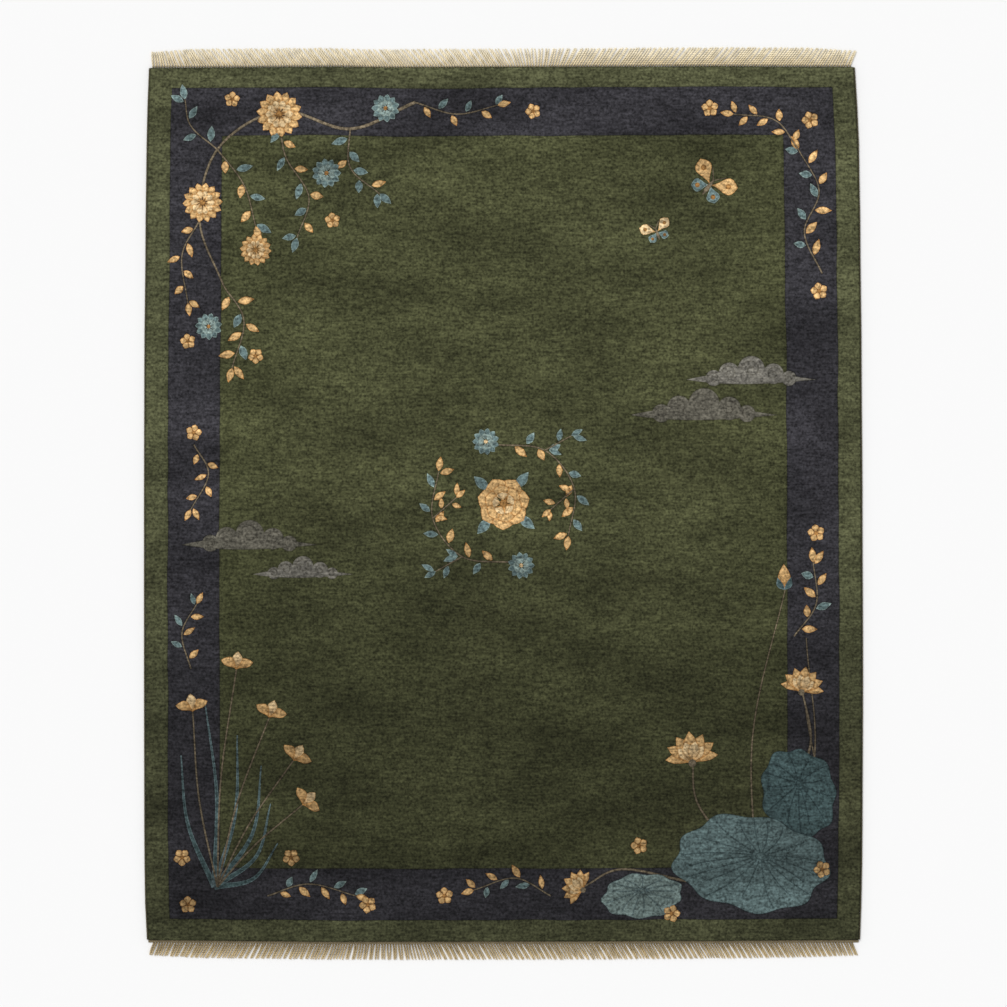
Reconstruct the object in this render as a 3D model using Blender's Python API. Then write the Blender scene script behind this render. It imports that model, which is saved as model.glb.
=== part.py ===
"""A hand-knotted Chinese Art Deco rug lying flat: wool pile, side selvedges, cotton web, fringes.

Metres, +Z up. The origin is on the floor, under the middle of the rug's whole outline. The warp
runs along Y, from the near end to the far end, and the weft along X.
"""

import random

import bpy

# Driving dimensions
RUG_WIDTH = 2.440  # over both selvedges, where the rug is widest
RUG_LENGTH = 3.097  # over both fringes
PILE_HEIGHT = 0.012  # foundation and wool pile together
PILE_ROUNDING = 0.003
GAP = 0.0003  # between pieces that touch

SELVEDGE_DIAMETER = 0.005
WEB_DEPTH = 0.009
WEB_THICKNESS = 0.003
FRINGE_THICKNESS = 0.005
HEADING_DEPTH = {"near": 0.003, "far": 0.008}  # the row of knots that the fringe hangs from
TOOTH_COUNT = 130
TOOTH_FILL = 0.66  # a tooth's share of the pitch
TOOTH_TAPER = 0.9
REACH_SPREAD = 0.0015
LEAN_SPREAD = 0.012

SIDE_STATIONS = 24
END_STATIONS = 16

# How far each side is drawn in from the widest line, by the share of the length from the near end
SIDE_INSETS = (
    ("along", "left", "right"),
    (0.00, 0.010, 0.010),
    (0.03, 0.004, 0.006),
    (0.12, 0.001, 0.002),
    (0.30, 0.000, 0.000),
    (0.50, 0.000, 0.002),
    (0.66, 0.001, 0.005),
    (0.80, 0.005, 0.009),
    (0.92, 0.009, 0.014),
    (0.96, 0.012, 0.020),
    (1.00, 0.017, 0.028),
)

# How far each end line is drawn in, by the share of the width from the left
END_INSETS = (
    ("across", "near", "far"),
    (0.00, 0.006, 0.005),
    (0.12, 0.003, 0.004),
    (0.26, 0.000, 0.001),
    (0.34, 0.000, 0.006),
    (0.48, 0.001, 0.004),
    (0.59, 0.001, 0.002),
    (0.78, 0.003, 0.000),
    (1.00, 0.006, 0.002),
)

# How the fringe lies, by the share of its width from the left: the metres that it leans sideways
# for each metre out, and how far out it reaches
FRINGE_LAY = (
    ("across", "near lean", "near reach", "far lean", "far reach"),
    (0.00, -0.38, 0.040, -0.10, 0.047),
    (0.08, -0.60, 0.047, -0.75, 0.057),
    (0.25, -0.45, 0.049, -0.80, 0.057),
    (0.34, 0.00, 0.050, -0.80, 0.057),
    (0.40, 0.50, 0.050, -0.78, 0.057),
    (0.50, 0.60, 0.050, -0.70, 0.057),
    (0.55, 0.60, 0.050, 0.00, 0.057),
    (0.60, 0.60, 0.050, 0.60, 0.057),
    (0.78, 0.62, 0.048, 0.85, 0.058),
    (0.92, 0.60, 0.046, 0.80, 0.058),
    (1.00, 0.42, 0.040, 0.42, 0.048),
)

# How far in from each of the pile's corners the fringe starts
CORNER_INSETS = {"near": (0.012, 0.015), "far": (0.002, 0.004)}

PILE_WIDTH = RUG_WIDTH - 2 * (SELVEDGE_DIAMETER + GAP)
FRINGE_START = {"near": GAP + WEB_DEPTH + GAP, "far": GAP}


def from_table(table, at, column):
    """The value in a table's column at a place between its rows, on a smooth step."""
    header, *rows = table
    pick = header.index(column)
    for low, high in zip(rows, rows[1:]):
        if at <= high[0]:
            share = (at - low[0]) / (high[0] - low[0])
            share = share * share * (3 - 2 * share)
            return low[pick] + share * (high[pick] - low[pick])
    return rows[-1][pick]


def end_depth(end):
    """From the pile's end line to the fringe's furthest tip."""
    header, *rows = FRINGE_LAY
    longest = max(row[header.index(f"{end} reach")] for row in rows)
    return FRINGE_START[end] + HEADING_DEPTH[end] + longest


NEAR_Y = -RUG_LENGTH / 2 + end_depth("near")
FAR_Y = RUG_LENGTH / 2 - end_depth("far")


def side_x(side, y):
    """The pile's left or right edge at y."""
    along = min(max((y - NEAR_Y) / (FAR_Y - NEAR_Y), 0), 1)
    half = PILE_WIDTH / 2 - from_table(SIDE_INSETS, along, side)
    return -half if side == "left" else half


def end_y(end, x):
    """The pile's near or far end line at x."""
    across = min(max(x / PILE_WIDTH + 0.5, 0), 1)
    inset = from_table(END_INSETS, across, end)
    return NEAR_Y + inset if end == "near" else FAR_Y - inset


def outward(end):
    return -1 if end == "near" else 1


def spaced(start, stop, count):
    return [start + (stop - start) * i / (count - 1) for i in range(count)]


def end_corners(end):
    """The x of the pile's left and right corners at that end."""
    y = NEAR_Y if end == "near" else FAR_Y
    return side_x("left", y), side_x("right", y)


def side_points(side):
    """The pile's left or right edge, from the near corner to the far one."""
    pick = 0 if side == "left" else 1
    near = end_y("near", end_corners("near")[pick])
    far = end_y("far", end_corners("far")[pick])
    return [(side_x(side, y), y) for y in spaced(near, far, SIDE_STATIONS)]


def end_points(end, start, stop, out=0.0):
    """A line that runs along the pile's end from one x to another, a way out from it."""
    places = spaced(start, stop, END_STATIONS)
    return [(x, end_y(end, x) + outward(end) * out) for x in places]


def material(name, colour, roughness):
    made = bpy.data.materials.new(name)
    made.use_nodes = True
    shader = made.node_tree.nodes["Principled BSDF"]
    shader.inputs["Base Color"].default_value = (*colour, 1)
    shader.inputs["Roughness"].default_value = roughness
    shader.inputs["Metallic"].default_value = 0
    return made


def add_curve(name, points, cyclic, finish):
    """A curve of straight runs through the points."""
    curve = bpy.data.curves.new(name, "CURVE")
    spline = curve.splines.new("POLY")
    spline.points.add(len(points) - 1)
    for spot, place in zip(spline.points, points):
        spot.co = (*place, 1)
    spline.use_cyclic_u = cyclic
    curve.materials.append(finish)
    made = bpy.data.objects.new(name, curve)
    rug.objects.link(made)
    return made


def add_plate(name, outline, thickness, rounding, finish):
    """A flat piece that lies on the floor, from its outline in plan."""
    plate = add_curve(name, [(x, y, 0) for x, y in outline], True, finish)
    curve = plate.data
    curve.dimensions = "2D"
    curve.fill_mode = "BOTH"
    curve.extrude = thickness / 2 - rounding
    curve.bevel_depth = rounding
    curve.bevel_resolution = 1
    curve.offset = -rounding
    plate.location.z = thickness / 2


def add_pile(finish):
    """The foundation and its wool pile, one body with soft upper edges and an uneven outline."""
    near = end_points("near", *end_corners("near"))
    far = end_points("far", *end_corners("far"))
    left, right = side_points("left"), side_points("right")
    outline = near[:-1] + right[:-1] + far[:0:-1] + left[:0:-1]
    add_plate("knotted_pile", outline, PILE_HEIGHT, PILE_ROUNDING, finish)


def add_selvedge(side, finish):
    """The overcast edge: a bundle of warps wrapped in wool, lying against the pile's side."""
    radius = SELVEDGE_DIAMETER / 2
    out = (GAP + radius) * (-1 if side == "left" else 1)
    points = [(x + out, y, radius) for x, y in side_points(side)]
    curve = add_curve(f"selvedge_{side}", points, False, finish).data
    curve.dimensions = "3D"
    curve.bevel_depth = radius
    curve.bevel_resolution = 3
    curve.use_fill_caps = True


def add_web_end(finish):
    """The flat-woven cotton strip past the last row of knots, which shows at the near end."""
    left, right = end_corners("near")
    inner = end_points("near", left, right, GAP)
    outer = end_points("near", left, right, GAP + WEB_DEPTH)
    add_plate("web_end_near", inner + outer[::-1], WEB_THICKNESS, 0, finish)


def add_fringe(end, finish):
    """The row of knots and the warp ends beyond it, as one comb whose teeth lean as they lie."""
    chance = random.Random(f"{end} fringe")
    left, right = end_corners(end)
    left, right = left + CORNER_INSETS[end][0], right - CORNER_INSETS[end][1]
    root_out = FRINGE_START[end] + HEADING_DEPTH[end]
    pitch = (right - left) / TOOTH_COUNT
    half = pitch * TOOTH_FILL / 2
    teeth = []
    for i in range(TOOTH_COUNT):
        x = left + (i + 0.5) * pitch
        across = (i + 0.5) / TOOTH_COUNT
        reach = from_table(FRINGE_LAY, across, f"{end} reach") - chance.uniform(0, REACH_SPREAD)
        lean = from_table(FRINGE_LAY, across, f"{end} lean")
        lean += chance.uniform(-LEAN_SPREAD, LEAN_SPREAD)
        root = end_y(end, x) + outward(end) * root_out
        tip_x, tip_y = x + lean * reach, root + outward(end) * reach
        tip_half = half * TOOTH_TAPER
        teeth += [(x - half, root), (tip_x - tip_half, tip_y)]
        teeth += [(tip_x + tip_half, tip_y), (x + half, root)]
    inner = end_points(end, left, right, FRINGE_START[end])
    add_plate(f"fringe_{end}", inner + teeth[::-1], FRINGE_THICKNESS, 0, finish)


for old in list(bpy.data.objects):
    bpy.data.objects.remove(old)
rug = bpy.data.collections.new("chinese_art_deco_rug")
bpy.context.scene.collection.children.link(rug)

green_wool = material("green wool pile", (0.053, 0.056, 0.027), 0.95)
olive_wool = material("olive wool overcasting", (0.105, 0.092, 0.055), 0.9)
tan_cotton = material("tan cotton web", (0.27, 0.22, 0.13), 0.85)
cream_cotton = material("cream cotton warp ends", (0.60, 0.52, 0.38), 0.85)

add_pile(green_wool)
for side in ("left", "right"):
    add_selvedge(side, olive_wool)
add_web_end(tan_cotton)
for end in ("near", "far"):
    add_fringe(end, cream_cotton)
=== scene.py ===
"""A hand-knotted Chinese Art Deco rug: carved wool pile, cotton foundation, selvedges and fringes."""

import cmath
import math
import random
from collections import namedtuple

import bpy
import numpy as np
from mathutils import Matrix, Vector, noise
from mathutils.geometry import delaunay_2d_cdt
from mathutils.kdtree import KDTree


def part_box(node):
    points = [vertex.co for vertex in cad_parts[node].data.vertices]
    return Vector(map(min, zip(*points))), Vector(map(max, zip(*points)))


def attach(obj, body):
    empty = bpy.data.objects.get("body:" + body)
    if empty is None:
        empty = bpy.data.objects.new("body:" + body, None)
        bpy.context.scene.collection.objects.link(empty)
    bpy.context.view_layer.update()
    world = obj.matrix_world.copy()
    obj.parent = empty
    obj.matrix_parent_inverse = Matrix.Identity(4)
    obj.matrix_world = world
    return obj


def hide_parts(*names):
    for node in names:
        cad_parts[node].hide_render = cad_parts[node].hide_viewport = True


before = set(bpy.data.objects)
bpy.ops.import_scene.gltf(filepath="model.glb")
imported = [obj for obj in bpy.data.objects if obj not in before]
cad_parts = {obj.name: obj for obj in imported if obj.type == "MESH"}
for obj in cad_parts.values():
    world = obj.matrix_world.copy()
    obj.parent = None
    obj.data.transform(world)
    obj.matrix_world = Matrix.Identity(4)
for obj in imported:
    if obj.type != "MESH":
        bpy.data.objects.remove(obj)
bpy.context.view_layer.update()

# The outline. The rug is woven between a left and a right edge that draw in towards the far
# end, and between two end lines that waver by a few rows of knots. Its bands keep step with them.
pile_low, pile_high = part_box("knotted_pile")
RIM_HEIGHT = 0.003  # the slab's full outline lies above its lower rounding, at this height
rim_spots = {
    (round(v.co.x, 5), round(v.co.y, 5))
    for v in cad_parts["knotted_pile"].data.vertices
    if abs(v.co.z - RIM_HEIGHT) < 0.0002
}


def rim_line(near_line, across):
    """A side or an end of the outline as two sorted lists: the places along it and how far out."""
    line = sorted((spot[1 - across], spot[across]) for spot in rim_spots if near_line(spot))
    return [place for place, _ in line], [out for _, out in line]


SIDE_ZONE = 0.93  # past this share of the half width or length, a rim point is on a side or end
left_rim = rim_line(lambda s: s[0] < SIDE_ZONE * pile_low.x, 0)
right_rim = rim_line(lambda s: s[0] > SIDE_ZONE * pile_high.x, 0)
near_rim = rim_line(lambda s: s[1] < SIDE_ZONE * pile_low.y, 1)
far_rim = rim_line(lambda s: s[1] > SIDE_ZONE * pile_high.y, 1)


def rim_at(rim, place):
    return float(np.interp(place, *rim))


def band_loop(side_inset, far_inset, near_inset, step, waver=0.0):
    """A line that runs round the rug inside its outline, anticlockwise from the near left corner."""

    def corner(x_rim, x_in, y_rim, y_in):
        x = x_rim[1][-1 if y_rim is far_rim else 0]
        y = rim_at(y_rim, x) + y_in
        return complex(rim_at(x_rim, y) + x_in, y)

    corners = [
        corner(left_rim, side_inset, near_rim, near_inset),
        corner(right_rim, -side_inset, near_rim, near_inset),
        corner(right_rim, -side_inset, far_rim, -far_inset),
        corner(left_rim, side_inset, far_rim, -far_inset),
    ]
    loop = []
    for turn, (start, stop) in enumerate(zip(corners, corners[1:] + corners[:1])):
        count = round(abs(stop - start) / step)
        for i in range(count):
            spot = start + (stop - start) * i / count
            wave = waver * noise.noise(Vector((spot.real * 9, spot.imag * 9, turn + 0.5)))
            wave *= math.sin(math.pi * i / count) ** 0.5
            if turn == 0:
                spot = complex(spot.real, rim_at(near_rim, spot.real) + near_inset + wave)
            elif turn == 1:
                spot = complex(rim_at(right_rim, spot.imag) - side_inset + wave, spot.imag)
            elif turn == 2:
                spot = complex(spot.real, rim_at(far_rim, spot.real) - far_inset + wave)
            else:
                spot = complex(rim_at(left_rim, spot.imag) + side_inset + wave, spot.imag)
            loop.append(spot)
    return loop


# The dyes. Each wool has its colour, and the colour painted at its carved edge, where the grooves
# blend it in: gold wools turn to a burnt ochre there, the teal of flowers and sprigs to a paler rim
# of painted highlight where the cut edge catches the light, and the grounds and all other wools to
# painted groove shade.
DYES = {
    # wool: (colour, painted colour at its carved edge)
    "field green": ("#484a31", "#3a3c26"),
    "guard green": ("#52543b", "#42442d"),
    "navy": ("#353438", "#29282b"),
    "gold": ("#d3ad77", "#a8743c"),
    "pale gold": ("#e0c598", "#b98f58"),
    "ochre": ("#ab7f4a", "#84592f"),
    "teal": ("#667a7a", "#8ea09a"),
    "pale teal": ("#7f918d", "#9fafa6"),
    "deep teal": ("#4b5f60", "#75878a"),
    "leaf teal": ("#667a7a", "#3d4d4f"),
    "pale leaf teal": ("#7f918d", "#54666a"),
    "deep leaf teal": ("#4b5f60", "#2f3d40"),
    "grey": ("#615e54", "#4d4a41"),
    "pale grey": ("#75726a", "#5d5a50"),
    "taupe": ("#7c705c", "#5f5544"),
}


def linear(colour):
    """An sRGB hex colour as the linear values that shaders and attributes take."""
    parts = [int(colour[i : i + 2], 16) / 255 for i in (1, 3, 5)]
    return [p / 12.92 if p <= 0.04045 else ((p + 0.055) / 1.055) ** 2.4 for p in parts]


# The inlays. The weaver ties the design into the rows, patch by patch, and a later patch here lies
# over an earlier one. Places are complex numbers of metres: across the rug, and along it as j.
Inlay = namedtuple("Inlay", "outline dye fade piece")
inlays = []
carved_lines = []  # the piece that a line is cut into, and the line
ridge_spots = []  # along the middle of stems, where the pile keeps its height


def inlay(outline, dye, fade=None, piece=None):
    """Adds a patch. fade is (dye, from, to), and patches of one piece have no cut between them."""
    twice_area = sum(
        (a.conjugate() * b).imag for a, b in zip(outline, outline[1:] + outline[:1])
    )
    ring = outline if twice_area > 0 else outline[::-1]
    inlays.append(Inlay(ring, dye, fade, len(inlays) if piece is None else piece))
    return inlays[-1].piece


def unit(turn):
    return cmath.exp(1j * turn)


def smooth_path(knots, step=0.010):
    """Points along a smooth line through the knots."""
    ends = [2 * knots[0] - knots[1], *knots, 2 * knots[-1] - knots[-2]]
    path = []
    for a, b, c, d in zip(ends, ends[1:], ends[2:], ends[3:]):
        count = max(2, round(abs(c - b) / step))
        for i in range(count):
            t = i / count
            bend = (2 * a - 5 * b + 4 * c - d) * t**2 + (3 * b - a - 3 * c + d) * t**3
            path.append((2 * b + (c - a) * t + bend) / 2)
    return path + [knots[-1]]


def heading(path, i):
    ahead = path[min(i + 1, len(path) - 1)] - path[max(i - 1, 0)]
    return ahead / abs(ahead)


def add_stem(path, width=0.006, tip_width=0.004, dye="taupe"):
    """A strip along a path, from its width at the root to its width at the tip."""
    left, right = [], []
    for i, spot in enumerate(path):
        half = (width + (tip_width - width) * i / (len(path) - 1)) / 2
        left.append(spot + 1j * heading(path, i) * half)
        right.append(spot - 1j * heading(path, i) * half)
    ridge_spots.extend(path[1:-1])
    return inlay(right + left[::-1], dye)


def leaf_outline(root, tip, width, bow=0.0, widest=0.45, steps=8):
    """A pointed oval from root to tip. bow is its sideways bend, as a share of its length."""
    run = tip - root
    side = 1j * run / abs(run)
    power = math.log(0.5) / math.log(widest)
    left, right = [], []
    for i in range(1, steps):
        t = i / steps
        middle = root + run * t + side * bow * abs(run) * math.sin(math.pi * t)
        half = side * width / 2 * math.sin(math.pi * t**power)
        left.append(middle + half)
        right.append(middle - half)
    return [root, *right, tip, *left[::-1]]


def disc_outline(at, radius, steps=12):
    return [at + radius * unit(2 * math.pi * i / steps) for i in range(steps)]


def add_sprig(knots, dyes, chance, leaves=8, length=0.052, width=0.025, stem=0.0055, first=0.12):
    """A stem with leaves on alternate sides and one at its tip."""
    path = smooth_path(knots)
    add_stem(path, stem, stem * 0.7)
    for i in range(leaves):
        spot = round((first + (0.97 - first) * i / max(leaves - 1, 1)) * (len(path) - 1))
        turn = (1 if i % 2 else -1) * math.radians(chance.uniform(38, 66))
        reach = heading(path, spot) * unit(turn)
        root = path[spot] + reach * 0.007
        long = length * chance.uniform(0.82, 1.12)
        outline = leaf_outline(root, root + reach * long, width * chance.uniform(0.88, 1.1))
        inlay(outline, dyes[i % len(dyes)])
    tip = path[-1] + heading(path, len(path) - 1) * length
    inlay(leaf_outline(path[-1], tip, width), dyes[0])


def add_blossom(at, radius, turn, dye="gold", heart="ochre", petals=5):
    """A small open flower: one ring of round petals and its heart."""
    for i in range(petals):
        out = unit(turn + 2 * math.pi * i / petals)
        inlay(leaf_outline(at, at + out * radius, radius * 4 / petals, widest=0.64, steps=6), dye)
    inlay(disc_outline(at, radius * 0.22, 8), heart)


def add_full_flower(at, radius, turn, rings, heart="ochre"):
    """A flower of rings of petals, the outer ones behind, that fade to ochre at their roots."""
    for petals, reach, width, shift, dye in rings:
        for i in range(petals):
            out = unit(turn + 2 * math.pi * (i + shift) / petals)
            root, tip = at + out * radius * 0.08, at + out * radius * reach
            petal = leaf_outline(root, tip, radius * width, widest=0.68, steps=8)
            inlay(petal, dye, ("ochre", tip, at) if "gold" in dye else None)
    inlay(disc_outline(at, radius * 0.15, 9), heart)


PEONY = (
    # petals, reach, width, turn, dye
    (7, 1.00, 0.80, 0.0, "gold"),
    (6, 0.72, 0.62, 0.5, "gold"),
    (5, 0.44, 0.44, 0.2, "pale gold"),
)
CHRYSANTHEMUM = (
    (14, 1.00, 0.40, 0.0, "gold"),
    (10, 0.62, 0.34, 0.5, "pale gold"),
)
ASTER = (
    (11, 1.00, 0.44, 0.0, "teal"),
    (7, 0.58, 0.36, 0.5, "pale teal"),
)


def add_lotus(at, radius, turn):
    """A lotus flower from the side: a fan of pointed petals, the outer ones behind."""
    for lean, reach, width in (
        # degrees, share of the radius, share of the radius
        (78, 0.92, 0.36),
        (52, 1.00, 0.42),
        (26, 1.04, 0.44),
        (0, 1.08, 0.46),
        (40, 0.70, 0.38),
        (14, 0.76, 0.38),
    ):
        for side in (1, -1) if lean else (1,):
            out = unit(turn + side * math.radians(lean))
            tip = at + out * radius * reach
            petal = leaf_outline(at, tip, radius * width, -side * lean / 700, 0.58, 9)
            inlay(petal, "pale gold" if reach < 0.8 else "gold", ("ochre", tip, at))
    inlay(disc_outline(at, radius * 0.14, 9), "taupe")


def add_bud(root, tip, dye="gold"):
    """A closed flower between two green sepals."""
    length = abs(tip - root)
    inlay(leaf_outline(root, tip, length * 0.5), dye, ("ochre", tip, root))
    for side in (-1, 1):
        sepal = root + (tip - root) * 0.55 * unit(side * 0.5)
        inlay(leaf_outline(root, sepal, length * 0.24, side * 0.12), "deep teal")


def add_lotus_leaf(at, width, height, turn, heart, dye, veins=15, waves=9):
    """A large round leaf with a wavy rim, and veins carved from its heart nearly to the rim."""

    def spot(angle, share):
        wave = 1 + 0.045 * math.sin(waves * angle + width * 40) + 0.03 * math.sin(4 * angle)
        out = complex(width * math.cos(angle), height * math.sin(angle)) / 2
        return at + unit(turn) * (heart * (1 - share) + out * wave * share)

    steps = round(1.6 * (width + height) / 0.010)
    piece = inlay([spot(2 * math.pi * i / steps, 1) for i in range(steps)], dye)
    for i in range(veins):
        angle = 2 * math.pi * i / veins
        reach = 0.93 if i % 2 else 0.78
        shares = [0.12 + (reach - 0.12) * j / 12 for j in range(13)]
        sway = 0.22 * math.sin(3 * angle + width * 9)
        carved_lines.append((piece, [spot(angle + sway * share**2, share) for share in shares]))
    carved_lines.append((piece, [spot(2 * math.pi * i / 14, 0.07) for i in range(15)]))


def add_cloud(at, length, dye="grey"):
    """A cloud band: a long flat foot, lobes that rise and fall along it, and a curl cut in each."""
    lobes = (
        # along, up and radius, as shares of the length
        (-0.29, 0.012, 0.062),
        (-0.17, 0.050, 0.082),
        (0.00, 0.078, 0.105),
        (0.17, 0.045, 0.080),
        (0.29, 0.010, 0.058),
    )
    piece = len(inlays)
    half = 0.5 * length
    inlay(leaf_outline(at - half, at + half, length * 0.09, 0.01, steps=26), dye, piece=piece)
    for along, up, radius in lobes:
        middle = at + length * complex(along, up)
        inlay(disc_outline(middle, radius * length, 24), dye, piece=piece)
    for along, up, radius in lobes:
        middle = at + length * complex(along, up)
        way = 1 if along < 0.05 else -1
        curl = []
        for i in range(22):
            t = i / 21
            swing = unit(math.radians(90 + way * (70 - 430 * t)))
            curl.append(middle + swing * radius * length * (0.70 - 0.52 * t))
        carved_lines.append((piece, curl))


def add_butterfly(at, size, turn, dye="gold"):
    """A butterfly from above: two pairs of wings with a spot in each, a body and feelers."""
    for side in (1, -1):
        for out, reach, width, tint in ((58, 0.56, 0.34, dye), (128, 0.38, 0.27, "teal")):
            wing = unit(turn + side * math.radians(out)) * size * reach
            inlay(leaf_outline(at, at + wing, size * width, 0, 0.68, 10), tint)
            inlay(disc_outline(at + wing * 0.66, size * 0.05, 8), "ochre")
        feeler = [at, at + size * 0.1 * unit(turn), at + size * 0.36 * unit(turn + side * 0.5)]
        add_stem(smooth_path(feeler), 0.004, 0.003)
    ahead = unit(turn) * size
    inlay(leaf_outline(at - ahead * 0.26, at + ahead * 0.16, size * 0.09), "taupe")


def add_blades(root, dye, width, table):
    """A tuft of long blades. Each row has a blade's lean from upright in degrees, length and bow."""
    for lean, length, bow in table:
        tip = root + length * unit(math.radians(90 - lean))
        side = 1j * (tip - root)
        knots = [root, root + (tip - root) * 0.5 + side * bow, tip - side * bow * 0.5]
        add_stem(smooth_path(knots, 0.012), width, 0.004, dye)


# The design, group by group. The near right corner holds a lotus pool, and chrysanthemums hang from
# the far left one. A round posy lies in the middle, an iris clump stands near the left corner, and
# clouds, butterflies and small sprays fill in between them.
chance = random.Random(12)

BAND_INSETS = {
    # line: (from each side, from the far end, from the near end)
    "navy": (0.0765, 0.069, 0.073),
    "field green": (0.252, 0.232, 0.248),
}
for dye, insets in BAND_INSETS.items():
    inlay(band_loop(*insets, 0.035, 0.0035), dye)

# Lotus pool: reeds and stems first, then the leaves, with the flowers above them
add_blades(
    0.86 - 1.30j,
    "taupe",
    0.007,
    ((14, 0.86, -0.10), (4, 1.02, 0.05), (20, 0.62, -0.16)),
)
for knots in (
    [0.80 - 1.20j, 0.66 - 1.02j, 0.64 - 0.86j],
    [0.95 - 1.00j, 1.04 - 0.82j, 1.01 - 0.62j],
    [0.62 - 1.28j, 0.40 - 1.24j, 0.27 - 1.30j],
):
    add_stem(smooth_path(knots), 0.009, 0.006)
add_lotus_leaf(1.00 - 0.98j, 0.25, 0.30, 0.3, 0.01 + 0.03j, "deep leaf teal", 13)
add_lotus_leaf(0.84 - 1.22j, 0.52, 0.32, -0.12, 0.03 + 0.03j, "leaf teal", 19)
add_lotus_leaf(0.47 - 1.33j, 0.27, 0.15, 0.08, 0.0 + 0.02j, "pale leaf teal", 13)
add_lotus(0.64 - 0.88j, 0.100, math.radians(96))
add_lotus(1.01 - 0.64j, 0.082, math.radians(80))
add_lotus(0.27 - 1.31j, 0.070, math.radians(150))
add_bud(0.953 - 0.292j, 0.950 - 0.205j)
add_sprig([0.985 - 0.45j, 1.06 - 0.34j, 1.05 - 0.20j], ("gold", "gold", "teal"), chance, 7)
add_sprig([0.16 - 1.33j, 0.04 - 1.27j, -0.10 - 1.31j], ("gold", "teal"), chance, 7, 0.046, 0.022)
for at in (0.46 - 1.16j, 1.06 - 0.10j, -0.20 - 1.33j, 0.57 - 1.39j, 1.08 - 1.24j):
    add_blossom(at, 0.030, chance.uniform(0, 1))

# Chrysanthemums that hang from the far left corner
vine = [-0.30 + 1.36j, -0.52 + 1.27j, -0.76 + 1.33j, -0.97 + 1.20j, -1.03 + 0.96j, -0.95 + 0.74j]
add_stem(smooth_path(vine, 0.012), 0.011, 0.006)
add_sprig([vine[1], -0.52 + 1.14j, -0.42 + 1.05j], ("teal", "teal", "gold"), chance, 7)
add_sprig([vine[2], -0.74 + 1.18j, -0.66 + 1.04j, -0.70 + 0.90j], ("teal", "gold"), chance, 9)
add_sprig([vine[3], -0.88 + 1.08j, -0.84 + 0.94j], ("gold", "teal"), chance, 6)
add_sprig([vine[4], -1.09 + 0.84j, -1.07 + 0.68j], ("gold",), chance, 6, 0.046, 0.022)
add_sprig([vine[5], -0.88 + 0.62j, -0.92 + 0.46j], ("gold", "gold", "teal"), chance, 8)
add_sprig([vine[0], -0.16 + 1.32j, -0.02 + 1.35j], ("gold", "teal"), chance, 6, 0.046, 0.022)
add_sprig([vine[3], -1.06 + 1.28j, -1.08 + 1.37j], ("teal",), chance, 4)
for at, radius, flower in (
    (-0.76 + 1.32j, 0.078, CHRYSANTHEMUM),
    (-1.02 + 1.02j, 0.068, CHRYSANTHEMUM),
    (-0.60 + 1.12j, 0.050, ASTER),
    (-0.84 + 0.86j, 0.054, CHRYSANTHEMUM),
    (-0.40 + 1.34j, 0.048, ASTER),
    (-1.00 + 0.60j, 0.046, ASTER),
):
    add_full_flower(at, radius, chance.uniform(0, 1), flower)
for at in (-0.58 + 0.96j, -0.92 + 1.37j, -0.84 + 0.50j, -1.07 + 0.55j, 0.10 + 1.33j):
    add_blossom(at, 0.027, chance.uniform(0, 1))

# Round posy in the middle
for turn in (0, math.pi):
    arm = [k * unit(turn) for k in (0.03 - 0.20j, -0.14 - 0.18j, -0.24 - 0.05j, -0.22 + 0.11j)]
    add_sprig(arm, ("gold", "teal", "gold", "teal"), chance, 11, 0.050, 0.024)
    add_sprig([arm[1], arm[1] + unit(turn) * (-0.09 - 0.05j)], ("teal",), chance, 3, 0.044, 0.02)
    add_sprig([arm[2], arm[2] + unit(turn) * (0.08 + 0.07j)], ("gold",), chance, 4, 0.040, 0.019)
    add_full_flower(arm[0] + unit(turn) * (0.03 - 0.01j), 0.046, turn, ASTER, "pale gold")
for turn in (0.9, 2.4, 4.0, 5.6):
    root = 0.07 * unit(turn)
    inlay(leaf_outline(root, root + 0.066 * unit(turn), 0.034), "teal")
add_full_flower(0j, 0.090, 0.2, PEONY)

# Iris clump near the left corner
add_blades(
    -0.98 - 1.30j,
    "deep teal",
    0.020,
    (
        (-16, 0.46, 0.06),
        (-2, 0.62, -0.03),
        (10, 0.52, -0.05),
        (24, 0.44, -0.10),
        (38, 0.34, -0.14),
        (60, 0.26, -0.16),
    ),
)
for lean, length in ((-8, 0.60), (5, 0.74), (17, 0.60), (31, 0.50), (46, 0.40)):
    foot = -0.97 - 1.30j
    head = foot + length * unit(math.radians(90 - lean))
    add_stem(smooth_path([foot, (foot + head) / 2 - 0.02, head]), 0.007, 0.005)
    for side in (-1, 0, 1):
        out = unit(math.radians(90 - lean + side * 62))
        petal = leaf_outline(head, head + out * 0.062, 0.034, -side * 0.15, 0.6, 9)
        inlay(petal, "gold" if side else "pale gold", ("ochre", head + out * 0.062, head))
add_sprig([-0.80 - 1.33j, -0.66 - 1.29j, -0.50 - 1.33j], ("gold", "teal"), chance, 8, 0.046, 0.022)
for at in (-0.72 - 1.20j, -0.46 - 1.36j, -1.09 - 1.20j, -1.07 - 1.36j):
    add_blossom(at, 0.030, chance.uniform(0, 1))

# Clouds at the two long borders
add_cloud(-0.86 - 0.14j, 0.46)
add_cloud(-0.68 - 0.24j, 0.34, "pale grey")
add_cloud(0.84 + 0.42j, 0.44, "pale grey")
add_cloud(0.68 + 0.30j, 0.50)

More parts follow.
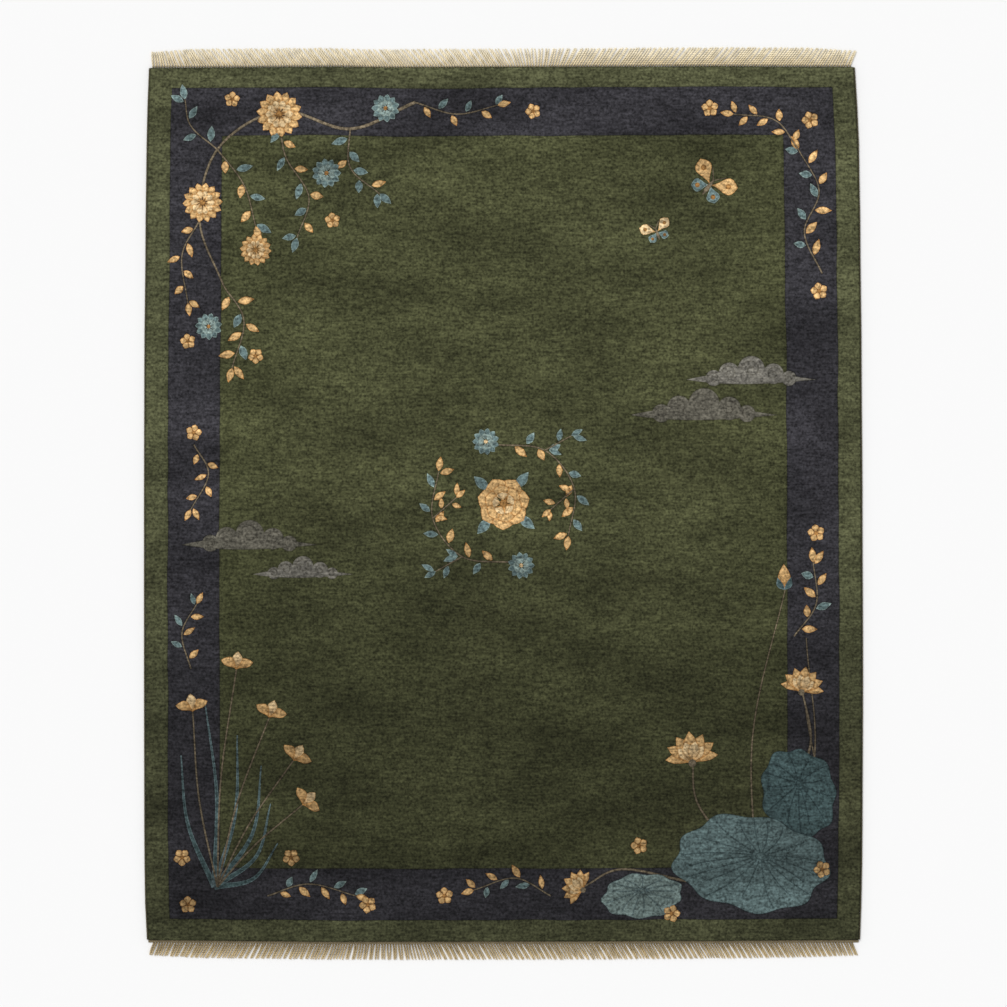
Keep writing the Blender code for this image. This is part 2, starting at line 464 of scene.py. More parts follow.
# Butterflies in the far right corner, and the small sprays between the groups
add_butterfly(0.70 + 1.08j, 0.17, math.radians(52))
add_butterfly(0.52 + 0.92j, 0.11, math.radians(110), "pale gold")
add_sprig([1.08 + 0.78j, 1.02 + 0.92j, 1.07 + 1.06j, 1.00 + 1.20j], ("gold", "teal"), chance, 10)
add_sprig([1.00 + 1.20j, 0.92 + 1.30j, 0.78 + 1.32j], ("gold",), chance, 7, 0.046, 0.022)
for at in (1.04 + 1.30j, 0.70 + 1.34j, 1.07 + 0.72j):
    add_blossom(at, 0.030, chance.uniform(0, 1))
add_sprig([-1.05 + 0.20j, -1.00 + 0.10j, -1.06 - 0.02j], ("gold",), chance, 6, 0.044, 0.02)
add_blossom(-1.05 + 0.24j, 0.028, 0.1)
add_sprig([-1.06 - 0.56j, -1.09 - 0.44j, -1.04 - 0.34j], ("gold", "teal"), chance, 6, 0.044, 0.02)

# The foundation. Cotton warps and wefts hold the knots, and seen from below it shows the same design
# in rows of small square knots, with flecks of pale cotton between them.
FOUNDATION_THICKNESS = 0.0032
FOUNDATION_INSET = 0.0006  # the pile leans out past it
RIM_STEP = 0.012
WEAVE_WAVER = 0.0012


def rim_loop(inset):
    return band_loop(inset, inset, inset, RIM_STEP, WEAVE_WAVER)


def patchwork(rim, free=()):
    """Cuts a flat sheet of triangles along every patch and line. Returns its places, its triangles,
    the patch on top of each, the edges that show as seams, and the places of the rim."""
    places, rings, cuts, owners = [], [], [], []
    for outline in [rim] + [patch.outline for patch in inlays]:
        rings.append(list(range(len(places), len(places) + len(outline))))
        places += outline
    for owner, path in carved_lines:
        cuts += [(len(places) + i, len(places) + i + 1) for i in range(len(path) - 1)]
        owners += [owner] * (len(path) - 1)
        places += path
    places += free
    flat = [Vector((place.real, place.imag)) for place in places]
    made, edges, triangles, sources, cut_ids, ring_ids = delaunay_2d_cdt(
        flat, cuts, rings, 1, 1e-5, True
    )
    tops = [max(ids, default=0) - 1 for ids in ring_ids]
    pieces = [inlays[top].piece if top >= 0 else -1 for top in tops]
    beside = {}
    for i, (a, b, c) in enumerate(triangles):
        for edge in ((a, b), (b, c), (c, a)):
            beside.setdefault(tuple(sorted(edge)), []).append(pieces[i])
    carved = {
        tuple(sorted(edge)): {owners[i] for i in ids if i < len(cuts)}
        for edge, ids in zip(edges, cut_ids)
    }
    seams = [
        edge
        for edge, near in beside.items()
        if len(near) == 2 and (near[0] != near[1] or near[0] in carved.get(edge, ()))
    ]
    found = {source: i for i, ids in enumerate(sources) for source in ids}
    return np.array(made), triangles, np.array(tops), seams, [found[i] for i in rings[0]]


def colour_with_painted_grooves_at(places, triangles, tops, painted_groove_share):
    """The wool's colour at each corner of each triangle, as rows of four values, turned by
    painted_groove_share towards its carved-edge colour: painted groove shade, and on teal a painted
    highlight.
    """
    table = {name: [linear(colour) for colour in pair] for name, pair in DYES.items()}
    patches = [Inlay(None, "guard green", None, -1)] + inlays
    body = np.array([table[patch.dye][0] for patch in patches])
    carved_edge_light_and_shade = np.array([table[patch.dye][1] for patch in patches])
    far = np.array([table[(patch.fade or (patch.dye,))[0]][0] for patch in patches])
    start = np.array([patch.fade[1] if patch.fade else 0 for patch in patches])
    run = np.array([patch.fade[2] - patch.fade[1] if patch.fade else 1e9 for patch in patches])
    corners = np.array(triangles).ravel()
    patch = np.repeat(tops + 1, 3)
    place = places[corners] @ np.array([1, 1j])
    share = ((place - start[patch]) * run[patch].conj()).real / np.abs(run[patch]) ** 2
    share = np.clip(share, 0, 1)[:, None] ** 1.6
    colour = body[patch] * (1 - share) + far[patch] * share
    # Painted groove shade, and on teal a painted highlight: corners near a groove take the
    # carved-edge colour
    edge = painted_groove_share[corners][:, None]
    colour = colour * (1 - edge) + carved_edge_light_and_shade[patch] * edge
    return np.hstack([colour, np.ones((len(colour), 1))])


def add_mesh(name, places, faces, finish):
    mesh = bpy.data.meshes.new(name)
    mesh.from_pydata(places, [], faces)
    mesh.materials.append(finish)
    made = bpy.data.objects.new(name, mesh)
    bpy.context.scene.collection.objects.link(made)
    return made


def add_slab(name, sheet, heights, colours, edge_rings, facing, finish):
    """A closed body: the detailed sheet, a wall through the edge's rings of inset and height, and a
    plain face on its other side. facing is 1 where the sheet is on top, and -1 where it is below."""
    places, triangles, _, _, rim = sheet
    points = [(x, y, z) for (x, y), z in zip(places, heights)]
    faces = [list(t) for t in triangles]
    upper = rim
    count = len(rim)
    for inset, height in edge_rings:
        lower = range(len(points), len(points) + count)
        points += [(spot.real, spot.imag, height) for spot in rim_loop(inset)]
        for i in range(count):
            j = (i + 1) % count
            faces.append([lower[i], lower[j], upper[j], upper[i]])
        upper = lower
    cap = delaunay_2d_cdt(
        [Vector(points[i][:2]) for i in upper], [], [list(range(count))], 1, 1e-6, True
    )
    faces += [[upper[cap[3][i][0]] for i in reversed(t)] for t in cap[2]]
    if facing < 0:
        faces = [face[::-1] for face in faces]
    made = add_mesh(name, points, faces, finish)
    mesh = made.data
    corners = np.empty(len(mesh.loops), dtype=np.int32)
    mesh.loops.foreach_get("vertex_index", corners)
    spots = np.array(points)[corners]
    low, high = places.min(0), places.max(0)
    # The map gives the sheet nearly the whole square, and the wall and the plain face a strip
    detailed = 3 * len(triangles)
    uv = np.empty((len(corners), 2))
    uv[:] = 0.005 + 0.99 * np.clip((spots[:, :2] - low) / (high - low), 0, 1)
    uv[:, 0] *= 0.93
    wall = detailed + 4 * count * len(edge_rings)
    uv[detailed:wall, 0] = 0.94 + (spots[detailed:wall, 2] - min(heights)) * 1.2
    around = np.repeat(np.tile(np.arange(count), len(edge_rings)), 4).reshape(-1, 4)
    step = (0, 1, 1, 0) if facing > 0 else (0, 1, 1, 0)[::-1]
    uv[detailed:wall, 1] = ((around + np.array(step)) / count).ravel()
    uv[wall:, 0] = 0.965 + 0.03 * (spots[wall:, 0] - low[0]) / (high[0] - low[0])
    mesh.uv_layers.new(name="OFBake").data.foreach_set("uv", uv.ravel())
    # The wall and the plain face take guard green's carved-edge colour, a painted shade
    wall_painted_shade = np.tile([*linear(DYES["guard green"][1]), 1], (len(corners) - detailed, 1))
    if facing < 0:
        colours = colours.reshape(-1, 3, 4)[:, ::-1].reshape(-1, 4)
    dyes = mesh.attributes.new("dye", "FLOAT_COLOR", "CORNER")
    dyes.data.foreach_set("color", np.vstack([colours, wall_painted_shade]).ravel())
    mesh.shade_smooth()
    return made


def node(tree, kind, inputs=None, **options):
    """Adds a node to a tree: its own options by name, and its inputs as values or as sockets."""
    made = tree.nodes.new(kind)
    for name, value in options.items():
        setattr(made, name, value)
    for key, value in (inputs or {}).items():
        if isinstance(value, bpy.types.NodeSocket):
            tree.links.new(value, made.inputs[key])
        else:
            made.inputs[key].default_value = value
    return made


def new_finish(name, roughness, sheen):
    """A material with its shader, whose fixed values are set on the shader's own sockets."""
    made = bpy.data.materials.new(name)
    made.use_nodes = True
    shader = made.node_tree.nodes["Principled BSDF"]
    shader.inputs["Roughness"].default_value = roughness
    shader.inputs["Specular IOR Level"].default_value = 0.06
    shader.inputs["Sheen Weight"].default_value = sheen
    shader.inputs["Sheen Roughness"].default_value = 0.6
    return made, made.node_tree, shader


# Knotted wool seen from the back: each knot is a small square cushion, drawn at 6 mm where the real
# one is 2.5 mm, and the cotton that holds it shows as pale lines between.
knotted_back, tree, shader = new_finish("hand_knotted_wool_back", 0.9, 0.1)
own = node(tree, "ShaderNodeTexCoord").outputs["Object"]
wool = node(tree, "ShaderNodeAttribute", attribute_name="dye").outputs["Color"]
knots = node(
    tree,
    "ShaderNodeTexBrick",
    {
        "Vector": own,
        "Color1": (0.75, 0.75, 0.75, 1),
        "Color2": (1.2, 1.2, 1.2, 1),
        "Mortar": (0.5, 0.5, 0.5, 1),
        "Scale": 1.0,
        "Mortar Size": 0.0008,
        "Mortar Smooth": 0.8,
        "Brick Width": 0.006,
        "Row Height": 0.006,
    },
)
shaded = node(
    tree, "ShaderNodeMix", {"Factor": 1.0, 6: wool, 7: knots.outputs["Color"]},
    data_type="RGBA", blend_type="MULTIPLY",
)
fleck = node(
    tree, "ShaderNodeMath", {0: knots.outputs["Fac"], 1: 0.35}, operation="MULTIPLY"
).outputs[0]
cotton = node(
    tree, "ShaderNodeMix", {0: fleck, 6: shaded.outputs[2], 7: (*linear("#b8ab8c"), 1)},
    data_type="RGBA",
)
tree.links.new(cotton.outputs[2], shader.inputs["Base Color"])
relief = node(
    tree, "ShaderNodeBump", {"Strength": 0.7, "Distance": 0.0012, "Height": knots.outputs["Fac"]},
    invert=True,
)
tree.links.new(relief.outputs["Normal"], shader.inputs["Normal"])

back_sheet = patchwork(rim_loop(FOUNDATION_INSET))
foundation = add_slab(
    "foundation",
    back_sheet,
    np.zeros(len(back_sheet[0])),
    colour_with_painted_grooves_at(*back_sheet[:3], np.zeros(len(back_sheet[0]))),
    [(FOUNDATION_INSET, FOUNDATION_THICKNESS)],
    -1,
    knotted_back,
)
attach(foundation, "root")

# The pile. Wool knots stand close together on the foundation, cut level at 8 mm and then carved:
# the clipper cuts a groove along every outline, and its shears round the pile's outer edge.
PILE_FOOT = 0.0035
PILE_TOP = 0.0117
GROOVE_REACH = 0.003  # from a seam to the full height of the pile
GROOVE_DEPTH = 0.0022
SHOULDER = 0.0032  # where points hold the pile level beside a groove
SHOULDER_STEP = 0.006
LEVEL_STEP = 0.017  # between the points of the open pile
SWELL = 0.0005  # how much the pile rises and falls from place to place
EDGE_RINGS = ((0.0022, 0.0112), (0.0006, 0.0092), (0.0, 0.0062), (0.0009, PILE_FOOT))
TOP_INSET = 0.0045


def seam_spots(places, seams, step):
    """Places along every seam, each with the direction of its seam."""
    spots = []
    for a, b in seams:
        start, stop = complex(*places[a]), complex(*places[b])
        run = stop - start
        if abs(run) < 1e-6:
            continue
        count = max(1, round(abs(run) / step))
        spots += [(start + run * i / count, run / abs(run)) for i in range(count + 1)]
    return spots


def nearness(spots):
    tree = KDTree(len(spots))
    for i, (spot, _) in enumerate(spots):
        tree.insert((spot.real, spot.imag, 0), i)
    tree.balance()
    return tree


top_rim = rim_loop(TOP_INSET)
places, _, _, seams, _ = patchwork(top_rim)
seam_tree = nearness(seam_spots(places, seams, GROOVE_REACH))


def to_seam(spot):
    return seam_tree.find((spot.real, spot.imag, 0))[2]


extra, taken = [], set()


def keep_apart(spot, gap, clear):
    """Adds a free point, unless a seam or another point is too near."""
    cell = (round(spot.real / gap), round(spot.imag / gap))
    if cell not in taken and to_seam(spot) > clear:
        taken.add(cell)
        extra.append(spot)


for spot in ridge_spots:
    keep_apart(spot, 0.0018, 0.0012)
for a, b in seams:
    start, stop = complex(*places[a]), complex(*places[b])
    run = stop - start
    if abs(run) > 1e-4:
        count = max(1, round(abs(run) / SHOULDER_STEP))
        for i in range(count):
            middle = start + run * (i + 0.5) / count
            for side in (1j, -1j):
                keep_apart(middle + side * run / abs(run) * SHOULDER, 0.0022, 0.0026)
chance = random.Random(5)
low, high = places.min(0), places.max(0)
for row in range(int((high[1] - low[1]) / LEVEL_STEP)):
    for column in range(int((high[0] - low[0]) / LEVEL_STEP)):
        jitter = complex(chance.uniform(0.2, 0.8), chance.uniform(0.2, 0.8))
        spot = complex(*low) + LEVEL_STEP * (complex(column, row) + jitter)
        inside = abs(spot.real) < high[0] - 0.03 and low[1] + 0.006 < spot.imag < high[1] - 0.012
        if inside:
            keep_apart(spot, 0.0022, 0.006)

pile_sheet = patchwork(top_rim, extra)
places = pile_sheet[0]
groove = np.array([to_seam(complex(*place)) for place in places])
groove = 1 - np.clip(groove / GROOVE_REACH, 0, 1)
groove = groove * groove * (3 - 2 * groove)
swell = np.array(
    [
        noise.noise(Vector((x * 2.3, y * 3.1, 1))) + 0.6 * noise.noise(Vector((x * 11, y * 14, 7)))
        for x, y in places
    ]
)
heights = PILE_TOP + SWELL * swell - GROOVE_DEPTH * groove
heights[pile_sheet[4]] = PILE_TOP

wool_pile, tree, shader = new_finish("hand_knotted_wool_pile", 0.95, 0.03)
own = node(tree, "ShaderNodeTexCoord").outputs["Object"]
wool = node(tree, "ShaderNodeAttribute", attribute_name="dye").outputs["Color"]


def patchy(tree, own, stretch, scale, detail, low, high, span=(0.3, 0.7)):
    """A factor that varies over the wool between low and high, with patches stretched by rows."""
    laid = node(tree, "ShaderNodeMapping", {"Vector": own, "Scale": stretch}).outputs[0]
    wild = node(tree, "ShaderNodeTexNoise", {"Vector": laid, "Scale": scale, "Detail": detail})
    span_values = {0: wild.outputs["Fac"], 1: span[0], 2: span[1], 3: low, 4: high}
    return node(tree, "ShaderNodeMapRange", span_values).outputs[0]


def product(tree, *factors):
    total = factors[0]
    for factor in factors[1:]:
        total = node(tree, "ShaderNodeMath", {0: total, 1: factor}, operation="MULTIPLY").outputs[0]
    return total


# Tufts of 2.5 mm are drawn at 8 mm, rows of knots at 12 mm, and the nap's sweeps, partly the wool's
# uneven tone and partly painted sheen where the pile lies different ways, are 0.3 to 0.6 m
tufts = patchy(tree, own, (1, 1, 1), 130, 3, 0.42, 1.62)
rows = patchy(tree, own, (1, 5, 1), 26, 4, 0.64, 1.36)
tone_and_nap_sheen = patchy(tree, own, (1, 2.6, 1), 2.4, 3, 0.66, 1.34)
apart = node(tree, "ShaderNodeSeparateXYZ", {0: own}).outputs["Y"]
# Painted shade: the wool of the near half is darker, as the light falls off towards the near end
near_falloff_span = {0: apart, 1: -0.9, 2: 0.3, 3: 0.52, 4: 0.91}
painted_falloff_shade = node(tree, "ShaderNodeMapRange", near_falloff_span, interpolation_type="SMOOTHSTEP").outputs[0]
# The wool's own tone, times painted nap sheen and painted falloff shade
tone_and_painted_light = product(tree, tufts, rows, tone_and_nap_sheen, painted_falloff_shade)
coloured = node(
    tree, "ShaderNodeVectorMath", {0: wool, "Scale": tone_and_painted_light}, operation="SCALE"
).outputs[0]
tree.links.new(coloured, shader.inputs["Base Color"])
relief = node(
    tree,
    "ShaderNodeBump",
    {"Strength": 0.6, "Distance": 0.002, "Height": product(tree, tufts, rows)},
)
tree.links.new(relief.outputs["Normal"], shader.inputs["Normal"])

# The pile's colours carry painted groove shade, and a painted highlight on teal, along every carved
# outline
pile = add_slab(
    "wool_pile",
    pile_sheet,
    heights,
    colour_with_painted_grooves_at(*pile_sheet[:3], groove * 0.8),
    EDGE_RINGS,
    1,
    wool_pile,
)
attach(pile, "root")
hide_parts("knotted_pile")

# The selvedges. Along each side a bundle of warps is overcast with olive wool, turn beside turn.
SELVEDGE_RADIUS = 0.0024
WRAP_PITCH = 0.0036
WRAP_HEIGHT = 0.00035
GAP = 0.0003  # between pieces that touch


def new_tree(name, inputs):
    """An empty tree for a modifier, with a geometry socket each way and its named inputs."""
    tree = bpy.data.node_groups.new(name, "GeometryNodeTree")
    tree.interface.new_socket("Geometry", in_out="INPUT", socket_type="NodeSocketGeometry")
    for label, kind in inputs.items():
        tree.interface.new_socket(label, in_out="INPUT", socket_type=f"NodeSocket{kind}")
    tree.interface.new_socket("Geometry", in_out="OUTPUT", socket_type="NodeSocketGeometry")
    return tree, tree.nodes.new("NodeGroupInput").outputs


def finish_tree(tree, mesh, material):
    """Ends a tree: real geometry, smooth, in its material."""
    real = node(tree, "GeometryNodeRealizeInstances", {0: mesh}).outputs[0]
    smooth = node(tree, "GeometryNodeSetShadeSmooth", {0: real}).outputs[0]
    made = node(tree, "GeometryNodeSetMaterial", {0: smooth, "Material": material}).outputs[0]
    node(tree, "NodeGroupOutput", {0: made})


def grow(name, places, edges, facts, tree, values):
    """Runs a tree on points and edges that carry facts, and keeps its result as a plain mesh."""
    base = bpy.data.meshes.new(name)
    base.from_pydata(places, edges, [])
    for fact, numbers in facts.items():
        base.attributes.new(fact, "FLOAT", "POINT").data.foreach_set("value", numbers)
    source = bpy.data.objects.new(name + "_base", base)
    bpy.context.scene.collection.objects.link(source)
    modifier = source.modifiers.new(name, "NODES")
    modifier.node_group = tree
    for item in tree.interface.items_tree:
        if item.name in values:
            modifier[item.identifier] = values[item.name]
    ready = bpy.context.evaluated_depsgraph_get()
    mesh = bpy.data.meshes.new_from_object(
        source.evaluated_get(ready), preserve_all_data_layers=True, depsgraph=ready
    )
    bpy.data.objects.remove(source)
    made = bpy.data.objects.new(name, mesh)
    bpy.context.scene.collection.objects.link(made)
    return made


def maths(tree, operation, *values):
    return node(tree, "ShaderNodeMath", dict(enumerate(values)), operation=operation).outputs[0]


def round_profile(tree, sides):
    """A cord's round section, whose points keep their own direction as the attribute spoke."""
    ring = node(tree, "GeometryNodeCurvePrimitiveCircle", {"Resolution": sides, "Radius": 1.0})
    place = node(tree, "GeometryNodeInputPosition").outputs[0]
    return node(
        tree,
        "GeometryNodeStoreNamedAttribute",
        {0: ring.outputs[0], "Name": "spoke", "Value": place},
        data_type="FLOAT_VECTOR",
        domain="POINT",
    ).outputs[0]


def with_length(tree, curve):
    """Stores each point's distance along its cord, in metres, as the attribute along."""
    length = node(tree, "GeometryNodeSplineParameter").outputs["Length"]
    return node(
        tree, "GeometryNodeStoreNamedAttribute", {0: curve, "Name": "along", "Value": length},
        data_type="FLOAT", domain="POINT",
    ).outputs[0]


overcasting, sockets = new_tree(
    "overcast_edge",
    {"Radius": "Float", "Wrap pitch": "Float", "Wrap height": "Float", "Material": "Material"},
)
curve = node(overcasting, "GeometryNodeMeshToCurve", {0: sockets["Geometry"]}).outputs[0]
step = maths(overcasting, "DIVIDE", sockets["Wrap pitch"], 3.0)
curve = node(
    overcasting, "GeometryNodeResampleCurve", {0: curve, "Length": step}, mode="LENGTH"
).outputs[0]
tube = node(
    overcasting,
    "GeometryNodeCurveToMesh",
    {
        0: with_length(overcasting, curve),
        1: round_profile(overcasting, 8),
        "Scale": sockets["Radius"],
        "Fill Caps": True,
    },
).outputs[0]
along = node(overcasting, "GeometryNodeInputNamedAttribute", {"Name": "along"}).outputs[0]
turns = maths(overcasting, "DIVIDE", along, sockets["Wrap pitch"])
swell = maths(overcasting, "SINE", maths(overcasting, "MULTIPLY", turns, math.tau))
out = maths(overcasting, "MULTIPLY", swell, sockets["Wrap height"])
normal = node(overcasting, "GeometryNodeInputNormal").outputs[0]
push = node(
    overcasting, "ShaderNodeVectorMath", {0: normal, "Scale": out}, operation="SCALE"
).outputs[0]
tube = node(overcasting, "GeometryNodeSetPosition", {0: tube, "Offset": push}).outputs[0]
finish_tree(overcasting, tube, sockets["Material"])

olive_wool, tree, shader = new_finish("overcast_olive_wool", 0.9, 0.1)
own = node(tree, "ShaderNodeTexCoord").outputs["Object"]
strands = patchy(tree, own, (1, 3, 1), 160, 2, 0.6, 1.35)
tone = node(
    tree, "ShaderNodeVectorMath", {0: linear("#5c5642"), "Scale": strands}, operation="SCALE"
)
tree.links.new(tone.outputs[0], shader.inputs["Base Color"])

selvedges = []
for side, rim, out in (("left", left_rim, -1), ("right", right_rim, 1)):
    low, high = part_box(f"selvedge_{side}")
    count = 240
    spots = []
    for i in range(count):
        y = low.y + 0.001 + (high.y - low.y - 0.002) * i / (count - 1)
        spots.append((rim_at(rim, y) + out * (GAP + SELVEDGE_RADIUS), y, 0.0030))
    selvedges.append(
        grow(
            f"overcast_{side}",
            spots,
            [(i, i + 1) for i in range(count - 1)],
            {},
            overcasting,
            {
                "Radius": SELVEDGE_RADIUS,
                "Wrap pitch": WRAP_PITCH,
                "Wrap height": WRAP_HEIGHT,
                "Material": olive_wool,
            },
        )
    )
    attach(selvedges[-1], "root")
    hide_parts(f"selvedge_{side}")

# The web. After the last knots of the near end the weaver twines a few rows of tan cotton across
# the warps, packed close, so that the rug can't unravel there.
CORD_PITCH = 0.0092  # of the bundles of warps, each of which ends as one cord of the fringe
WEB_DEPTH = 0.009
WEB_ROWS = 4
WEFT_RADIUS = 0.0012
WEFT_HEIGHT = 0.0017  # of a weft's middle above the floor
WEFT_BOB = 0.0004  # how far it rises and falls over and under the warps
WEFT_POINTS = 520

twining, sockets = new_tree("twined_wefts", {"Radius": "Float", "Material": "Material"})
rows_made = node(twining, "GeometryNodeMeshToCurve", {0: sockets["Geometry"]}).outputs[0]
rows_made = node(
    twining,
    "GeometryNodeCurveToMesh",
    {
        0: with_length(twining, rows_made),
        1: round_profile(twining, 6),
        "Scale": sockets["Radius"],
        "Fill Caps": True,
    },
).outputs[0]
finish_tree(twining, rows_made, sockets["Material"])


def plied_cotton(name, root, tip, twist):
    """Cotton cord of two plies: the shadow between the plies winds round it once every twist."""
    made, tree, shader = new_finish(name, 0.85, 0.05)
    along = node(tree, "ShaderNodeAttribute", attribute_name="along").outputs["Fac"]
    spoke = node(tree, "ShaderNodeAttribute", attribute_name="spoke").outputs["Vector"]
    turn = maths(tree, "MULTIPLY", along, math.tau / twist)
    wind = node(
        tree,
        "ShaderNodeCombineXYZ",
        {0: maths(tree, "COSINE", turn), 1: maths(tree, "SINE", turn)},
    ).outputs[0]
    facing = node(tree, "ShaderNodeVectorMath", {0: spoke, 1: wind}, operation="DOT_PRODUCT")
    ply = maths(tree, "POWER", maths(tree, "ABSOLUTE", facing.outputs["Value"]), 0.5)
    shadow = node(tree, "ShaderNodeMapRange", {0: ply, 1: 0.2, 2: 0.9, 3: 0.45, 4: 1.08}).outputs[0]
    own = node(tree, "ShaderNodeTexCoord").outputs["Object"]
    soil = patchy(tree, own, (1, 1, 1), 45, 2, 0.82, 1.12)
    aged = node(tree, "ShaderNodeMapRange", {0: along, 1: 0.0, 2: 0.05, 3: 0.0, 4: 1.0}).outputs[0]
    cotton = node(
        tree,
        "ShaderNodeMix",
        {0: aged, 6: (*linear(root), 1), 7: (*linear(tip), 1)},
        data_type="RGBA",
    ).outputs[2]
    tint = node(
        tree, "ShaderNodeVectorMath", {0: cotton, "Scale": product(tree, shadow, soil)},
        operation="SCALE",
    ).outputs[0]
    tree.links.new(tint, shader.inputs["Base Color"])
    relief = node(tree, "ShaderNodeBump", {"Strength": 0.5, "Distance": 0.001, "Height": ply})
    tree.links.new(relief.outputs["Normal"], shader.inputs["Normal"])
    return made


web_cotton = plied_cotton("twined_web_cotton", "#8c7f64", "#8c7f64", 0.009)

low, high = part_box("web_end_near")
places, edges = [], []
for row in range(WEB_ROWS):
    out = GAP + WEB_DEPTH * (row + 0.5) / WEB_ROWS
    start = len(places)
    for i in range(WEFT_POINTS):
        x = low.x + (high.x - low.x) * i / (WEFT_POINTS - 1)
        bob = WEFT_BOB * math.sin(math.tau * x / CORD_PITCH + math.pi * row)
        places.append((x, rim_at(near_rim, x) - out, WEFT_HEIGHT + bob))
    edges += [(i, i + 1) for i in range(start, start + WEFT_POINTS - 1)]
wefts = {"Radius": WEFT_RADIUS, "Material": web_cotton}
web = grow("twined_web_near", places, edges, {}, twining, wefts)
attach(web, "root")
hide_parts("web_end_near")

# The fringes. The warps' own ends are twisted into cords of cotton, which lie as they were last
# brushed. They are cream at the far end, where a row of knots holds them, and browned at the near,
# where their colour is also darkened with painted shade from the light falling off towards the near
# end.
FRINGE_LAY = (
    ("across", "near lean", "near reach", "far lean", "far reach"),
    (0.00, -0.38, 0.040, -0.10, 0.047),
    (0.08, -0.60, 0.047, -0.75, 0.057),
    (0.25, -0.45, 0.049, -0.80, 0.057),
    (0.34, 0.00, 0.050, -0.80, 0.057),
    (0.40, 0.50, 0.050, -0.78, 0.057),
    (0.50, 0.60, 0.050, -0.70, 0.057),
    (0.55, 0.60, 0.050, 0.00, 0.057),
    (0.60, 0.60, 0.050, 0.60, 0.057),
    (0.78, 0.62, 0.048, 0.85, 0.058),
    (0.92, 0.60, 0.046, 0.80, 0.058),
    (1.00, 0.42, 0.040, 0.42, 0.048),
)
CORNER_INSETS = {"near": (0.015, 0.018), "far": (0.005, 0.007)}
ROOT_OUT = {"near": GAP + WEB_DEPTH + GAP, "far": 0.0068}
HEADING = {"near": 0.003, "far": 0.0015}  # between a cord's root and the start of its free length
CORD_WIDTH = 0.0058
CORD_HEIGHT = 0.0025  # of a cord's middle at its root
PAIRING = 0.03  # how much neighbours lean towards each other, in metres for each metre out
LEAN_SPREAD = 0.04
SWAY = 0.0018
LIFT = 0.0012
KNOT_SIZE = (0.0039, 0.0040, 0.0024)
KNOT_BACK = 0.0024  # from a cord's root to its knot's middle


def from_table(table, at, column):
    """The value in a table's column at a place between its rows."""
    header, *rows = table
    pick = header.index(column)
    return float(np.interp(at, [row[0] for row in rows], [row[pick] for row in rows]))


combing, sockets = new_tree(
    "fringe_cords", {"Outward": "Float", "Cord width": "Float", "Material": "Material"}
)
straight = node(combing, "GeometryNodeCurvePrimitiveLine", {"End": (0, 1, 0)}).outputs[0]
straight = node(combing, "GeometryNodeResampleCurve", {0: straight, "Count": 11}).outputs[0]
cords = node(
    combing, "GeometryNodeInstanceOnPoints", {0: sockets["Geometry"], "Instance": straight}
).outputs[0]
cords = node(combing, "GeometryNodeRealizeInstances", {0: cords}).outputs[0]
share = node(combing, "GeometryNodeSplineParameter").outputs["Factor"]
reach, lean, sway, lift = (
    node(combing, "GeometryNodeInputNamedAttribute", {"Name": fact}).outputs[0]
    for fact in ("reach", "lean", "sway", "lift")
)
arch = maths(combing, "SINE", maths(combing, "MULTIPLY", share, math.pi))
out = maths(combing, "MULTIPLY", reach, share)
leaning = maths(combing, "MULTIPLY", out, lean)
aside = maths(combing, "ADD", leaning, maths(combing, "MULTIPLY", sway, arch))
ahead = maths(combing, "SUBTRACT", maths(combing, "MULTIPLY", out, sockets["Outward"]), share)
up = maths(combing, "MULTIPLY", arch, lift)
move = node(combing, "ShaderNodeCombineXYZ", {0: aside, 1: ahead, 2: up}).outputs[0]
cords = node(combing, "GeometryNodeSetPosition", {0: cords, "Offset": move}).outputs[0]
taper = node(combing, "ShaderNodeMapRange", {0: share, 1: 0.75, 2: 1.0, 3: 0.5, 4: 0.34}).outputs[0]
cords = node(
    combing,
    "GeometryNodeCurveToMesh",
    {
        0: with_length(combing, cords),
        1: round_profile(combing, 6),
        "Scale": maths(combing, "MULTIPLY", taper, sockets["Cord width"]),
        "Fill Caps": True,
    },
).outputs[0]
finish_tree(combing, cords, sockets["Material"])

knotting, sockets = new_tree("knot_row", {"Knot size": "Vector", "Material": "Material"})
bead = node(
    knotting, "GeometryNodeMeshUVSphere", {"Segments": 8, "Rings": 6, "Radius": 1.0}
).outputs[0]
beads = node(
    knotting,
    "GeometryNodeInstanceOnPoints",
    {0: sockets["Geometry"], "Instance": bead, "Scale": sockets["Knot size"]},
).outputs[0]
finish_tree(knotting, beads, sockets["Material"])

cream_cotton = plied_cotton("twisted_cream_cotton", "#dccaa2", "#f4e7c8", 0.018)
# The near cords' tan is browned cotton with painted shade, the light's falloff towards the near end
tan_cotton_with_painted_shade = plied_cotton("twisted_tan_cotton", "#85734f", "#cdb88e", 0.018)

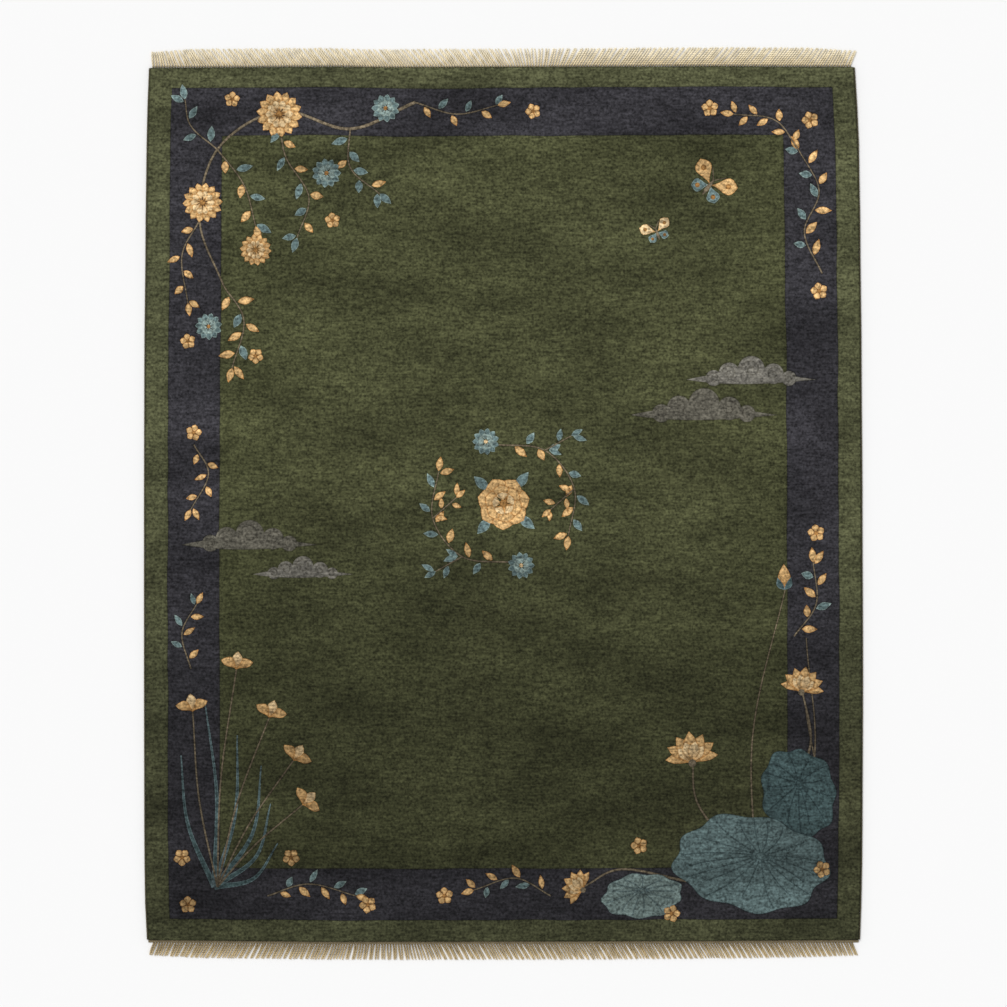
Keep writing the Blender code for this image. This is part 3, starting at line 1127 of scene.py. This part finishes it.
for end, rim, outward, finish in (
    ("near", near_rim, -1.0, tan_cotton_with_painted_shade),
    ("far", far_rim, 1.0, cream_cotton),
):
    chance = random.Random(f"{end} cords")
    corner = 0 if end == "near" else -1
    left = left_rim[1][corner] + CORNER_INSETS[end][0]
    right = right_rim[1][corner] - CORNER_INSETS[end][1]
    count = round((right - left) / CORD_PITCH)
    roots, facts = [], {"reach": [], "lean": [], "sway": [], "lift": []}
    for i in range(count):
        across = (i + 0.5) / count
        x = left + (right - left) * across
        y = rim_at(rim, x) + outward * ROOT_OUT[end]
        roots.append((x, y, CORD_HEIGHT))
        reach = from_table(FRINGE_LAY, across, f"{end} reach") + HEADING[end]
        facts["reach"].append(reach * chance.uniform(0.95, 1.0))
        pairing = PAIRING if i % 2 else -PAIRING
        lean = from_table(FRINGE_LAY, across, f"{end} lean") - pairing
        facts["lean"].append(lean + chance.uniform(-LEAN_SPREAD, LEAN_SPREAD))
        facts["sway"].append(chance.uniform(-SWAY, SWAY))
        facts["lift"].append(chance.uniform(0.0, LIFT))
    cords = grow(
        f"cords_{end}",
        roots,
        [],
        facts,
        combing,
        {"Outward": outward, "Cord width": CORD_WIDTH, "Material": finish},
    )
    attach(cords, "root")
    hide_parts(f"fringe_{end}")
    if end == "far":
        knots = [(x, y - KNOT_BACK, z) for x, y, z in roots]
        row = grow(
            "knot_row_far", knots, [], {}, knotting, {"Knot size": KNOT_SIZE, "Material": finish}
        )
        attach(row, "root")

# The studio. The rug lies on white paper in an even white room, with one soft window to the upper
# left, and the camera hangs straight above it.
FRAMED_WIDTH = 3.4128  # of what the camera sees at the pile
LENS = 100  # millimetres
SENSOR = 36
ROOM_LIGHT = 0.8
WINDOW_LIGHT = 1.2
FLOOR_HALF = 60
FLOOR_DROP = 0.0005

camera = bpy.data.objects.new("camera", bpy.data.cameras.new("camera"))
bpy.context.scene.collection.objects.link(camera)
camera.data.lens = LENS
camera.data.sensor_width = SENSOR
camera.location = (0, 0, PILE_TOP + FRAMED_WIDTH * LENS / SENSOR)
camera.data.clip_end = 100
bpy.context.scene.camera = camera

white_paper, tree, shader = new_finish("matt_white_paper", 0.9, 0.0)
shader.inputs["Base Color"].default_value = (0.9, 0.9, 0.9, 1)
corners = [
    (FLOOR_HALF * x, FLOOR_HALF * y, -FLOOR_DROP) for x, y in ((-1, -1), (1, -1), (1, 1), (-1, 1))
]
floor = add_mesh("floor", corners, [(0, 1, 2, 3)], white_paper)

room = bpy.data.worlds.new("studio")
bpy.context.scene.world = room
room.use_nodes = True
sky = room.node_tree.nodes["Background"]
sky.inputs["Color"].default_value = (1, 1, 1, 1)
sky.inputs["Strength"].default_value = ROOM_LIGHT
window = bpy.data.objects.new("window", bpy.data.lights.new("window", "SUN"))
window.data.energy = WINDOW_LIGHT
window.data.angle = math.radians(12)
window.rotation_euler = (math.radians(-28), math.radians(-38), 0)
bpy.context.scene.collection.objects.link(window)
bpy.context.scene.view_settings.view_transform = "Standard"
